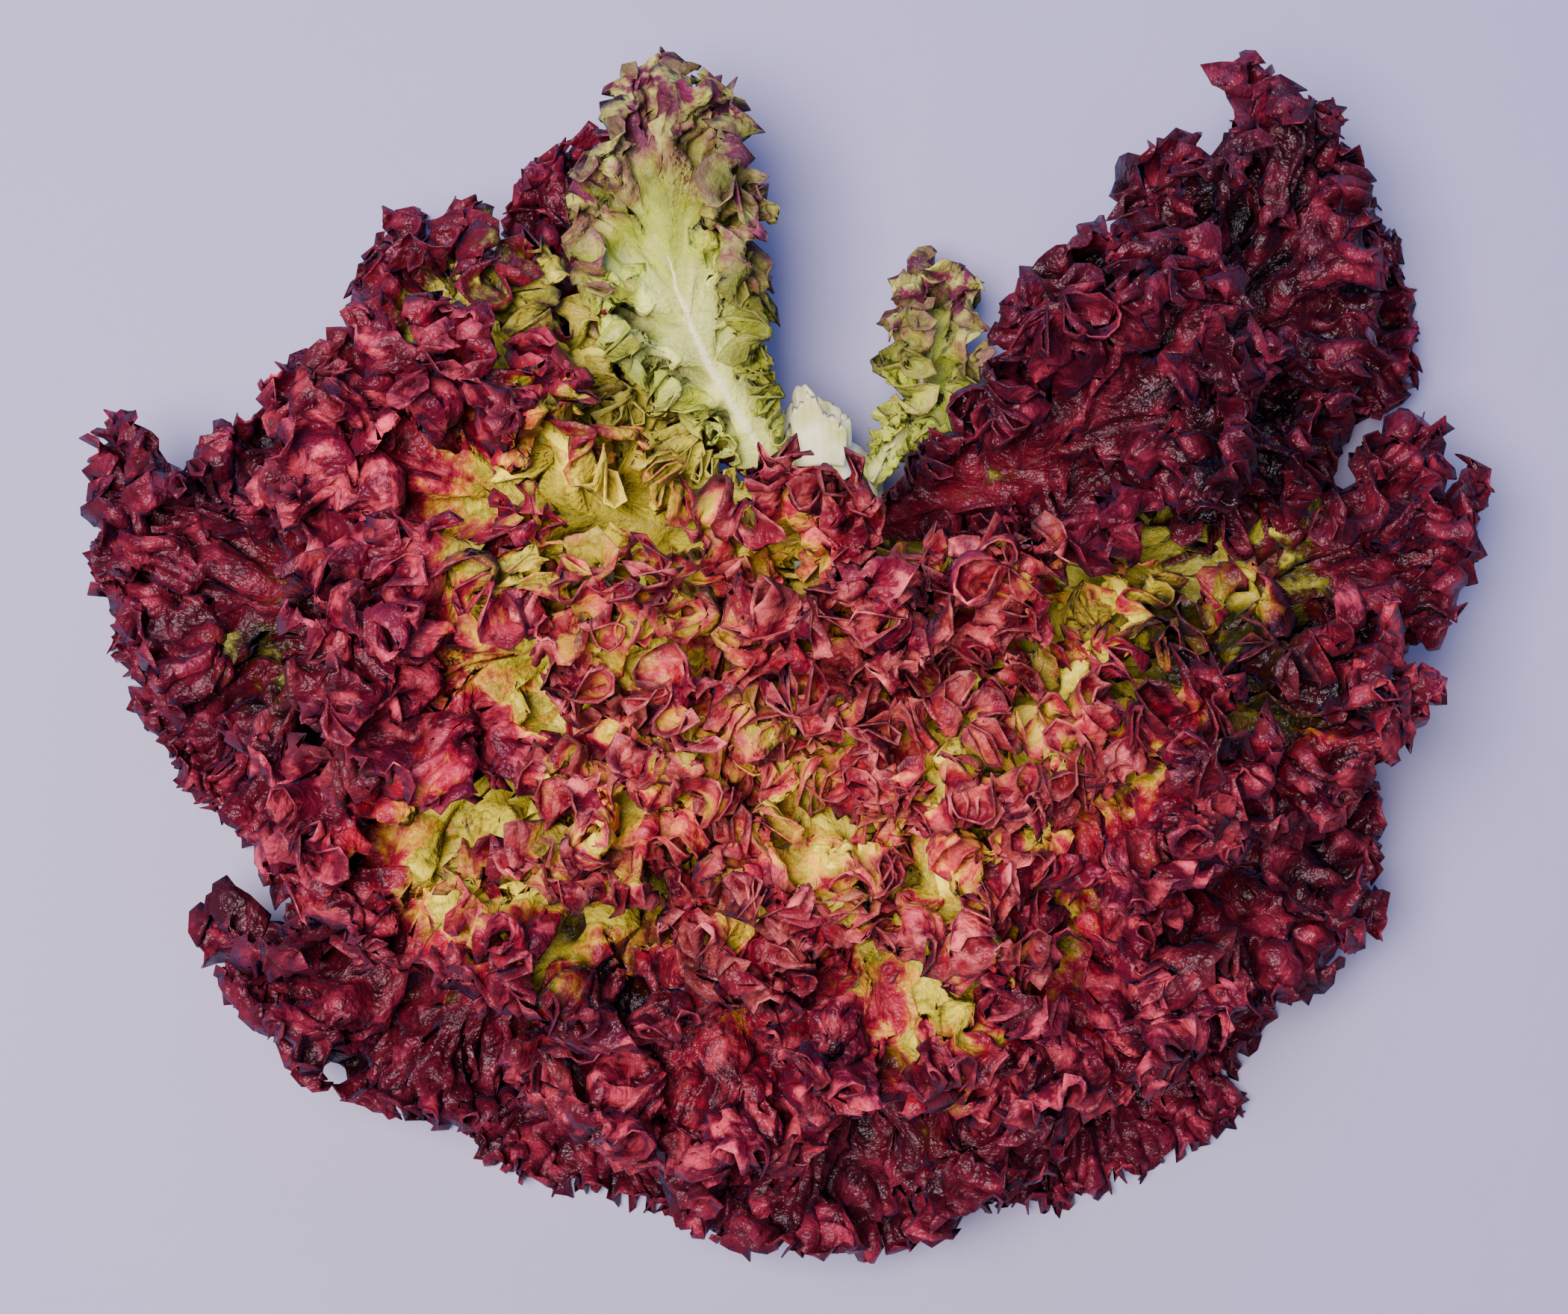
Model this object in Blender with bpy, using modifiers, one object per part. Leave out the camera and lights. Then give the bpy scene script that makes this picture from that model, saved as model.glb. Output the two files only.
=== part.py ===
"""A head of lollo rosso lettuce, lying opened out with its torn stem to the back.

Frame: metres, +Z up, +Y towards the stem's torn end, origin on the table under the middle of the head.
The stem leans forward out of the table. Every leaf starts on its side and fans out round its axis, in rings
that lie one over another: the outer ring lies down on the table and the heart stands along the axis.
A point of a leaf is placed by a bearing round the stem, a rise from the table towards the stem's axis and a
distance from the stem. Leaves differ in bearing or in rise, so that none meets another.
"""

from dataclasses import dataclass
from math import cos, pi, radians, sin

import bmesh
import bpy
import numpy as np

# Driving dimensions of the whole head
STEM_LEAN = radians(45)  # from upright, forwards
STEM_HEART = np.array([0.0098, 0.0203, 0.031])  # middle of the stretch that bears leaves
STEM_HALF = 0.015  # half the length that bears leaves
STEM_TORN = 0.029  # from that middle to the torn end
STEM_WIDE = 0.0120  # stem radius where the outer leaves start
STEM_NARROW = 0.0055  # stem radius where the heart leaves start
STEM_TIP = 0.004  # length of the stem's rounded tip, inside the heart
STEM_SIDES = 24
TORN_EDGE = 0.002  # rounding of the torn end
TORN_DEPTH = 0.0025  # hollow in the torn end
TORN_WIDTH = 0.6  # width of that hollow, as a share of the stem's
SKIN_GAP = 0.0006  # leaf base to stem

# Leaf blade
RIB_THICK = 0.0016
RIM_SHARE = 0.44  # thickness at the rim over that at the midrib
RIB_SHARE = 0.5  # the blade thins over this share of the way from the midrib to the rim
RIB_REACH = 0.64  # length of the midrib as a share of the leaf's reach
RIB_TAPER = 1.3  # how bluntly the strip of blade folds at the midrib's tip

# Leaf outline, in shares of half the leaf's width and of its reach
RIM_TURN = radians(150)  # how far the rim goes round the blade, from its tip to its foot
RIM_MIDDLE = 0.56  # middle of the rounded outline
RIM_ROUND = 0.44  # and half its length
RIM_FULL = 0.8  # under 1 for a squarer outline
SIDE_FROM = radians(90)  # from here the outline runs in to the foot
SIDE_OVER = radians(60)
FOOT_FROM = 0.88  # share of the rim after which it crosses the leaf's foot
FOOT_WIDE = 0.80  # half width above the foot
FOOT_SPREAD = 0.10  # and what the foot adds to it
LOBE_DEEP = 0.04
LOBES = 2.6

# Leaf carriage, in shares of the turn from the table to the stem's axis
CUP = 0.04  # how far a leaf's sides stand above its midrib
FOOT_LIFT = 0.05  # a leaf leaves the stem this much steeper
FOOT_REACH = 0.06
DROOP = 0.25  # and droops at its tip
DROOP_FROM = 0.62
FACING = 265  # the bearing that the head opens to
BEND = 10  # degrees that the leaves beside the stem's torn end turn back towards it
BEND_OVER = 150  # degrees from the facing bearing to those leaves

# The table under the lying ring
TABLE_SOFTNESS = 0.010  # how gently a leaf lands on the table
TABLE_DROP = 0.0038
TABLE_REACH = 0.022  # height from which a leaf is free of the table
LYING_EASE = 0.5  # how much less a lying leaf sinks where the stem leans away from it

# Ripples round a leaf
RIPPLE_HIGH = 0.0100  # height at the rim where there is room, from its middle
RIPPLE_STEEP = 0.40  # the most height a ripple may have, as a share of its length
RIPPLE_FROM = 0.2  # ripples start here, as a share of the way from the midrib to the rim
RIPPLE_GROWTH = 1.5  # power of their growth towards the rim
RIPPLE_END = 0.94  # they end here, as a share of the rim from the tip to the foot
RIPPLE_FADE = 0.45  # and fade over this share before it
RIPPLE_VARIES = 0.15
RIPPLE_SWELLS = 5
LEAN_FROM = 0.8  # and lean over each other from this share of the way outwards
SCALLOP = 0.0022  # how far the rim goes in and out
LEAST_SPREAD = 0.010  # least distance that a ripple's rise is worked out for
LEAST_GIRTH = 0.020

# Rows of points in a leaf, from the midrib to the rim; the rows from the second last have twice the points
ROWS = (0.0, 0.55, 0.82, 1.0)
PACES = 801  # steps in which the length of a rim is measured
WELD = 0.00005
SEED = 14

# Torn leaf bases on the stem: bearing and half width in degrees, place along the stem, angle from its axis
# in degrees, length
STUBS = ((95, 16, -0.016, 108, 0.013), (100, 26, -0.0225, 128, 0.010))
STUB_THICK = 0.0024
STUB_STEPS = 8
STUB_ROUND = 0.35  # how much shorter a torn base is at its sides, as a share of its length
STUB_TAPER = 0.25  # and how much narrower at its torn edge
STUB_TEAR = 0.0022  # height of the teeth along the torn edge
STUB_UNEVEN = 0.4
STUB_SWELLS = 9

PALE_LEAVES = ("second_leaf_1", "outer_leaf_8")

# Base colour and roughness
FINISHES = {
    "maroon_leaf": ((0.055, 0.008, 0.014), 0.38),
    "red_leaf": ((0.130, 0.016, 0.022), 0.40),
    "rose_leaf": ((0.270, 0.060, 0.045), 0.42),
    "pale_leaf": ((0.330, 0.380, 0.120), 0.45),
    "stem_flesh": ((0.640, 0.620, 0.420), 0.50),
}


@dataclass(frozen=True)
class Ring:
    """A ring of leaves that share one rise: each leaf is its bearing, half its width in degrees, its reach."""

    name: str
    finish: str
    rise: float  # 0 level, 1 along the stem's axis
    room: float  # the most rise that a ripple may take
    ripples: int  # ripples round one leaf's rim
    lean: float  # how far a ripple leans over the next, as a share of its length
    leaves: tuple


RINGS = (
    Ring("outer", "maroon_leaf", -0.20, 0.095, 11, 0.02,
         ((134, 15, 0.092), (167, 16, 0.106), (203, 20, 0.148), (248, 22, 0.152), (293, 21, 0.146),
          (337, 20, 0.118), (378, 18, 0.131), (415, 12, 0.050))),
    Ring("second", "maroon_leaf", 0.13, 0.070, 11, 0.10,
         ((117, 13, 0.086), (147, 15, 0.096), (184, 20, 0.138), (228, 21, 0.148), (273, 22, 0.148),
          (317, 20, 0.126), (357, 18, 0.119), (394, 18, 0.122))),
    Ring("third", "red_leaf", 0.30, 0.070, 11, 0.10,
         ((154, 22, 0.106), (204, 22, 0.124), (252, 22, 0.132), (300, 22, 0.128), (348, 22, 0.112))),
    Ring("fourth", "red_leaf", 0.46, 0.070, 10, 0.10,
         ((170, 27, 0.104), (228, 26, 0.114), (285, 26, 0.114), (342, 26, 0.100))),
    Ring("fifth", "rose_leaf", 0.62, 0.070, 9, 0.10,
         ((350, 21, 0.076), (396, 20, 0.054), (106, 20, 0.050), (152, 21, 0.072), (200, 22, 0.088),
          (251, 21, 0.090), (301, 22, 0.090))),
    Ring("heart", "rose_leaf", 0.785, 0.070, 7, 0.10,
         ((90, 38, 0.050), (174, 40, 0.064), (261, 40, 0.080), (347, 40, 0.066))),
    Ring("bud", "rose_leaf", 0.945, 0.035, 8, 0.08,
         ((135, 78, 0.046), (315, 78, 0.054))),
    Ring("back", "maroon_leaf", 0.30, 0.070, 9, 0.10, ((402, 20, 0.092),)),
)

AXIS = np.array([0.0, -sin(STEM_LEAN), cos(STEM_LEAN)])


def smooth(x):
    """0 below 0, 1 above 1, and a smooth climb between."""
    x = np.clip(x, 0, 1)
    return x * x * (3 - 2 * x)


def level(bearing):
    """Level unit vectors along each bearing."""
    return np.stack([np.cos(bearing), np.sin(bearing), np.zeros_like(bearing)], -1)


def off_axis(bearing):
    """Unit vectors square to the stem's axis, on the side of each bearing."""
    heading = level(bearing)
    side = heading - (heading @ AXIS)[:, None] * AXIS
    return side / np.linalg.norm(side, axis=1, keepdims=True)


def fan(bearing, rise, distance, half):
    """Points in the head, from bearing (radians), rise and distance from the stem, half a blade off the table."""
    angle = np.arccos(level(bearing) @ AXIS) * (1 - rise)
    climb = np.clip(rise, 0, 1)
    along = STEM_HALF * (2 * climb - 1) + distance * np.cos(angle)
    across = STEM_WIDE + (STEM_NARROW - STEM_WIDE) * climb + SKIN_GAP + half + distance * np.sin(angle)
    points = STEM_HEART + along[:, None] * AXIS + across[:, None] * off_axis(bearing)
    z = points[:, 2]
    landed = (z + np.sqrt(z * z + TABLE_SOFTNESS**2)) / 2 - TABLE_DROP
    points[:, 2] = np.maximum(landed + (z - landed) * smooth(z / TABLE_REACH), half)
    return points


def half_blade(v):
    """Half the blade's thickness, from the midrib at v = 0 to the rim at v = 1."""
    return RIB_THICK / 2 * (1 + (RIM_SHARE - 1) * smooth(v / RIB_SHARE))


def rim(s):
    """A leaf's rim: s runs round it from one foot to the other. Gives the shares of half width and of reach,
    and the turn round the outline."""
    foot = np.clip((np.abs(s) - FOOT_FROM) / (1 - FOOT_FROM), 0, 1)
    turn = np.minimum(np.abs(s) / FOOT_FROM, 1) * RIM_TURN
    side = smooth((turn - SIDE_FROM) / SIDE_OVER)
    x = np.sign(s) * (np.sin(turn) ** RIM_FULL * (1 - side) + FOOT_WIDE * side + FOOT_SPREAD * foot)
    return x, (RIM_MIDDLE + RIM_ROUND * np.cos(turn)) * (1 - foot), np.sign(s) * turn


def leaf_points(ring, bearing, half_width, reach, s, v, turns, draw):
    """Places of a leaf's points: s runs round its rim from -1 to 1, v from the midrib at 0 to the rim at 1."""
    wide = radians(half_width)
    opening = np.arccos(level(np.radians(bearing)) @ AXIS)
    widening = sin(opening * (1 - max(ring.rise, 0)))
    lying = ring.rise < 0
    base = ring.rise * ((pi / 2 - STEM_LEAN) / opening) ** LYING_EASE if lying else ring.rise
    # The rim is walked at an even pace
    paces = np.linspace(-1, 1, PACES)
    x, y, _ = rim(paces)
    steps = np.hypot(np.diff(x) * wide * (STEM_WIDE + y[1:] * reach * widening), np.diff(y) * reach)
    walked = np.concatenate([[0], np.cumsum(steps)])
    s = np.interp((s + 1) / 2 * walked[-1], walked, paces)
    length = walked[-1] / ring.ripples
    rim_x, rim_y, turn = rim(s)
    rib_y = RIB_REACH * (1 - np.abs(s) ** RIB_TAPER)
    y = (rib_y + (rim_y - rib_y) * v) * (1 + LOBE_DEEP * np.sin(LOBES * turn + draw[0]) * v)
    x = rim_x * v
    distance = y * reach
    lift = FOOT_LIFT * (1 - np.clip(distance / FOOT_REACH, 0, 1))
    rise = base + CUP * x * x + lift - DROOP * np.clip(y - DROOP_FROM, 0, 1) ** 2
    girth = STEM_WIDE + distance * widening
    # Ripples grow towards the rim and fade at the leaf's foot, and each leans over its neighbours
    grow = np.clip((v - RIPPLE_FROM) / (1 - RIPPLE_FROM), 0, 1) ** RIPPLE_GROWTH
    grow = grow * smooth((RIPPLE_END - np.abs(s)) / RIPPLE_FADE)
    high = min(RIPPLE_HIGH, RIPPLE_STEEP * length)
    high = high * (1 - RIPPLE_VARIES + RIPPLE_VARIES * np.sin(RIPPLE_SWELLS * s + draw[1]))
    # A lying leaf ripples only down from its blade, so that it rests on its troughs
    wave = np.sin(turns) + lying
    rise = rise + grow * wave * np.minimum(high / np.maximum(distance * opening, LEAST_SPREAD), ring.room)
    lean = -grow * smooth((v - LEAN_FROM) / (1 - LEAN_FROM)) * ring.lean * length * np.sin(2 * turns)
    out = -grow * SCALLOP * np.sin(turns)
    across = lean * np.cos(turn) + out * np.sin(turn)
    distance = distance - lean * np.sin(turn) + out * np.cos(turn)
    bend = radians(BEND) * (bearing - FACING) / BEND_OVER * y**2
    turned = radians(bearing) + x * wide + bend + across / np.maximum(girth, LEAST_GIRTH)
    return fan(turned, rise, distance, half_blade(v))


def leaf_sheet(name, ring, leaf, draw):
    """A leaf with no thickness: a strip folded in half along the midrib, with finer steps at the rim."""
    mesh = bmesh.new()
    bmesh.ops.create_grid(mesh, x_segments=2 * ring.ripples, y_segments=len(ROWS) - 1, size=1)
    # The grid's rows lie at even steps of Y, and the subdivided edges are those of the last two
    grid_rows = np.linspace(-1, 1, len(ROWS))
    fine_from = (grid_rows[-3] + grid_rows[-2]) / 2
    rim_edges = [edge for edge in mesh.edges
                 if min(vert.co.y for vert in edge.verts) > fine_from
                 and abs(edge.verts[0].co.y - edge.verts[1].co.y) < WELD]
    bmesh.ops.subdivide_edges(mesh, edges=rim_edges, cuts=1, use_grid_fill=True)
    flat = np.array([vert.co for vert in mesh.verts])
    s = flat[:, 0]
    v = np.interp(flat[:, 1], grid_rows, ROWS)
    turns = (s + 1) * ring.ripples * pi + pi / 4
    places = leaf_points(ring, *leaf, s, v, turns, draw)
    weights = mesh.verts.layers.deform.verify()
    for vert, place, half in zip(mesh.verts, places, half_blade(v)):
        vert.co = place
        vert[weights][0] = (2 * half / RIB_THICK - RIM_SHARE) / (1 - RIM_SHARE)
    bmesh.ops.remove_doubles(mesh, verts=mesh.verts, dist=WELD)
    bmesh.ops.triangulate(mesh, faces=mesh.faces, quad_method="SHORT_EDGE")
    bmesh.ops.recalc_face_normals(mesh, faces=mesh.faces)
    data = bpy.data.meshes.new(name)
    mesh.to_mesh(data)
    mesh.free()
    return data


def add_leaf(collection, name, ring, leaf, draw):
    """A leaf as a solid blade, thickest along its midrib."""
    blade = bpy.data.objects.new(name, leaf_sheet(name, ring, leaf, draw))
    collection.objects.link(blade)
    blade.vertex_groups.new(name="rib")
    wall = blade.modifiers.new("blade", "SOLIDIFY")
    wall.thickness = RIB_THICK
    wall.offset = 0
    wall.vertex_group = "rib"
    wall.thickness_vertex_group = RIM_SHARE
    return blade


def add_stub(collection, name, bearing, half_width, start, angle, length):
    """A torn leaf base: a short thick blade round part of the stem, its outer edge in uneven teeth."""
    mesh = bmesh.new()
    bmesh.ops.create_grid(mesh, x_segments=STUB_STEPS, y_segments=2, size=1)
    flat = np.array([vert.co for vert in mesh.verts])
    out = (flat[:, 1] + 1) / 2
    column = np.round((flat[:, 0] + 1) / 2 * STUB_STEPS)
    teeth = np.where(column % 2 == 0, 1.0, -1.0) * (1 - STUB_UNEVEN + STUB_UNEVEN * np.sin(STUB_SWELLS * flat[:, 0]))
    distance = out * length * (1 - STUB_ROUND * flat[:, 0] ** 2) + teeth * STUB_TEAR * (out == 1)
    around = radians(bearing) + flat[:, 0] * radians(half_width) * (1 - STUB_TAPER * out)
    along = start + distance * cos(radians(angle))
    across = STEM_WIDE + SKIN_GAP + STUB_THICK / 2 + distance * sin(radians(angle))
    places = STEM_HEART + along[:, None] * AXIS + across[:, None] * off_axis(around)
    for vert, place in zip(mesh.verts, places):
        vert.co = place
    bmesh.ops.triangulate(mesh, faces=mesh.faces, quad_method="SHORT_EDGE")
    data = bpy.data.meshes.new(name)
    mesh.to_mesh(data)
    mesh.free()
    stub = bpy.data.objects.new(name, data)
    collection.objects.link(stub)
    wall = stub.modifiers.new("flesh", "SOLIDIFY")
    wall.thickness = STUB_THICK
    wall.offset = 0
    return stub


def add_stem(collection):
    """The stem, turned from its profile: rounded tip in the heart, widening to a hollowed torn end."""
    hollow = -STEM_TORN + TORN_DEPTH
    profile = ((0.0, STEM_HALF + STEM_TIP), (STEM_NARROW * 0.7, STEM_HALF + STEM_TIP * 0.75),
               (STEM_NARROW, STEM_HALF), (STEM_WIDE, -STEM_HALF), (STEM_WIDE, -STEM_TORN + TORN_EDGE),
               (STEM_WIDE - TORN_EDGE, -STEM_TORN), (STEM_WIDE * TORN_WIDTH, hollow), (0.0, hollow))
    data = bpy.data.meshes.new("stem")
    data.from_pydata([(r, 0, z) for r, z in profile], [(i, i + 1) for i in range(len(profile) - 1)], [])
    stem = bpy.data.objects.new("stem", data)
    collection.objects.link(stem)
    turned = stem.modifiers.new("turned", "SCREW")
    turned.steps = STEM_SIDES
    turned.render_steps = STEM_SIDES
    turned.use_merge_vertices = True
    turned.merge_threshold = WELD
    turned.use_smooth_shade = True
    stem.location = STEM_HEART
    stem.rotation_euler.x = STEM_LEAN
    return stem


def add_material(name, colour, roughness):
    """A material with its base colour and roughness."""
    material = bpy.data.materials.new(name)
    material.use_nodes = True
    shader = material.node_tree.nodes["Principled BSDF"]
    shader.inputs["Base Color"].default_value = (*colour, 1)
    shader.inputs["Roughness"].default_value = roughness
    return material


def build():
    """The whole head, in its own collection."""
    for obj in list(bpy.data.objects):
        bpy.data.objects.remove(obj)
    head = bpy.data.collections.new("lollo_rosso_lettuce")
    bpy.context.scene.collection.children.link(head)
    materials = {name: add_material(name, *finish) for name, finish in FINISHES.items()}
    add_stem(head).data.materials.append(materials["stem_flesh"])
    for k, stub in enumerate(STUBS):
        add_stub(head, f"torn_base_{k + 1}", *stub).data.materials.append(materials["stem_flesh"])
    draws = np.random.default_rng(SEED)
    for ring in RINGS:
        for k, leaf in enumerate(ring.leaves):
            name = f"{ring.name}_leaf_{k + 1}"
            blade = add_leaf(head, name, ring, leaf, draws.uniform(0, 2 * pi, 2))
            blade.data.materials.append(materials["pale_leaf" if name in PALE_LEAVES else ring.finish])


build()
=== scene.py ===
"""Looks of a head of lollo rosso lettuce: frilled leaves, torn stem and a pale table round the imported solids."""

import logging
from collections.abc import Callable
from dataclasses import dataclass, field
from enum import Enum
from functools import partial
from itertools import product
from math import cos, pi, radians, sin

import bmesh
import bpy
import numpy as np
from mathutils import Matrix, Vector


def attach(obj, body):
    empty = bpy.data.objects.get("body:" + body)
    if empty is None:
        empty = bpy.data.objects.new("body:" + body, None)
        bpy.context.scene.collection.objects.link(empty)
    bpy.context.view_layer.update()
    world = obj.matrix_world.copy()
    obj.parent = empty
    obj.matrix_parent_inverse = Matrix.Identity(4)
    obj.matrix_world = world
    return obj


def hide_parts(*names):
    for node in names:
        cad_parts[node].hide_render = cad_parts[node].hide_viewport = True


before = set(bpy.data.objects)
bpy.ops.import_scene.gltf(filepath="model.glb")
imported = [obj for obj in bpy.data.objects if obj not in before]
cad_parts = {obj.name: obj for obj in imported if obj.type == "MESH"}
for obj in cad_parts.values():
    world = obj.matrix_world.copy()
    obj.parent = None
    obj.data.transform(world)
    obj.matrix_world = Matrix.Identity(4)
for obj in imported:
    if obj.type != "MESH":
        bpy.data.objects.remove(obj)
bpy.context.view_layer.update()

LOG = logging.getLogger("lollo_rosso")
MM = 0.001

Array = np.ndarray
Piece = bpy.types.Object
Place = Callable[[Array, Array], Array]
Socket = bpy.types.NodeSocket
Adder = Callable[..., Socket | None]


def linear(hex_code: str) -> tuple[float, float, float, float]:
    """Turns an sRGB hex colour to linear light.

    Args:
        hex_code: six hex digits after a hash.

    Returns:
        Red, green, blue and an alpha of 1.
    """
    shares = [int(hex_code[k:k + 2], 16) / 255 for k in (1, 3, 5)]
    red, green, blue = (c / 12.92 if c <= 0.04045 else ((c + 0.055) / 1.055) ** 2.4 for c in shares)
    return red, green, blue, 1.0


def smooth(x: Array) -> Array:
    """0 below 0, 1 above 1, and a smooth climb between."""
    x = np.clip(x, 0, 1)
    return x * x * (3 - 2 * x)


def climb(x: Array, start: float, over: float) -> Array:
    """A smooth climb from 0 at start to 1, over so long a way."""
    return smooth((x - start) / over)


def patches(points: Array, places: tuple, fall: float = 1) -> Array:
    """Soft round patches seen from above.

    Args:
        points: where to read them.
        places: each patch's place and width in millimetres, and its height.
        fall: how fast they fade.

    Returns:
        Their sum at each point.
    """
    x, y = points[:, 0] / MM, points[:, 1] / MM
    return sum(high * np.exp(-fall * ((x - left) ** 2 + (y - near) ** 2) / width**2)
               for left, near, width, high in places)


def waves(turn: Array, each: tuple) -> Array:
    """The sum of waves round a turn, each with its number, height and start."""
    return sum(height * np.sin(count * turn + start) for count, height, start in each)


def unit(vectors: Array) -> Array:
    """Vectors with a length of 1."""
    return vectors / np.maximum(np.linalg.norm(vectors, axis=-1, keepdims=True), 1e-12)


def add_node(tree: bpy.types.NodeTree, kind: str, inputs: dict | None = None, stops: tuple = (),
             out: int | str = 0, **settings) -> Socket | None:
    """Adds a node with its settings and links.

    Args:
        tree: the tree that gets the node.
        kind: the node's type.
        inputs: what goes into each input, by name or place: a socket to link, or a value to set.
        stops: pairs of a place from 0 to 1 and a hex colour, for a colour ramp.
        out: which of its outputs is wanted.
        settings: the node's own settings.

    Returns:
        That output, or None where the node has no outputs.
    """
    node = tree.nodes.new(kind)
    for name, value in settings.items():
        setattr(node, name, value)
    for name, value in (inputs or {}).items():
        if isinstance(value, Socket):
            tree.links.new(value, node.inputs[name])
        else:
            node.inputs[name].default_value = value
    if stops:
        elements = node.color_ramp.elements
        while len(elements) < len(stops):
            elements.new(1.0)
        for element, (place, colour) in zip(elements, stops):
            element.position = place
            element.color = linear(colour)
    return node.outputs[out] if node.outputs else None


def new_material(name: str) -> tuple[bpy.types.Material, bpy.types.NodeTree, Adder]:
    """Starts a material.

    Args:
        name: what it is.

    Returns:
        The material, its tree with a plain shader, and what adds a node to that tree.
    """
    material = bpy.data.materials.new(name)
    material.use_nodes = True
    return material, material.node_tree, partial(add_node, material.node_tree)


def deselect() -> None:
    """Leaves nothing selected or active, in object mode."""
    bpy.ops.object.select_all(action="DESELECT")
    bpy.context.view_layer.objects.active = None


def apply_modifiers(piece: Piece) -> None:
    """Applies every modifier of the piece, which is active and the only one selected."""
    for modifier in list(piece.modifiers):
        bpy.ops.object.modifier_apply(modifier=modifier.name)


def in_edit_mode(*steps: tuple[Callable, dict]) -> None:
    """Runs operators on all of the active mesh in edit mode.

    Args:
        steps: pairs of an operator and its settings.
    """
    bpy.ops.object.mode_set(mode="EDIT")
    bpy.ops.mesh.select_all(action="SELECT")
    for operator, settings in steps:
        operator(**settings)
    bpy.ops.object.mode_set(mode="OBJECT")


def cut_edges(piece: Piece, chosen: Callable[[bmesh.types.BMEdge], bool], cuts: int) -> None:
    """Subdivides some edges of the active mesh in edit mode.

    Args:
        piece: the object of the mesh.
        chosen: whether an edge is cut.
        cuts: how often.
    """
    bpy.ops.object.mode_set(mode="EDIT")
    bpy.ops.mesh.select_all(action="DESELECT")
    bpy.ops.mesh.select_mode(type="EDGE")
    mesh = bmesh.from_edit_mesh(piece.data)
    for edge in mesh.edges:
        edge.select = chosen(edge)
    bmesh.update_edit_mesh(piece.data)
    bpy.ops.mesh.subdivide(number_cuts=cuts, ngon=False)
    bpy.ops.object.mode_set(mode="OBJECT")


def points_of(piece: Piece) -> Array:
    """The places of a mesh's points, one row for each."""
    flat = np.empty(len(piece.data.vertices) * 3)
    piece.data.vertices.foreach_get("co", flat)
    return flat.reshape(-1, 3)


def place_points(piece: Piece, points: Array) -> None:
    """Moves a mesh's points to new places."""
    piece.data.vertices.foreach_set("co", points.ravel())
    piece.data.update()


def keep(piece: Piece, name: str, values: Array) -> None:
    """Keeps a number or a vector at each point of a mesh, for its material to read."""
    kind, part = ("FLOAT", "value") if values.ndim == 1 else ("FLOAT_VECTOR", "vector")
    piece.data.attributes.new(name, kind, "POINT").data.foreach_set(part, values.astype(np.float32).ravel())


def hand_over(piece: Piece, node: str, material: bpy.types.Material) -> None:
    """Dresses a finished piece and lets it stand for its solid.

    Args:
        piece: the finished piece, with its place in its mesh.
        node: the solid that it replaces.
        material: its material.
    """
    piece.data.materials.clear()
    piece.data.materials.append(material)
    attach(piece, "root")
    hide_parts(node)
    LOG.info("%s: %d faces", piece.name, len(piece.data.polygons))


class Tissue(Enum):
    """The record's material slots for this head."""

    MAROON = "maroon_leaf"
    RED = "red_leaf"
    ROSE = "rose_leaf"
    PALE = "pale_leaf"
    FLESH = "stem_flesh"


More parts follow.
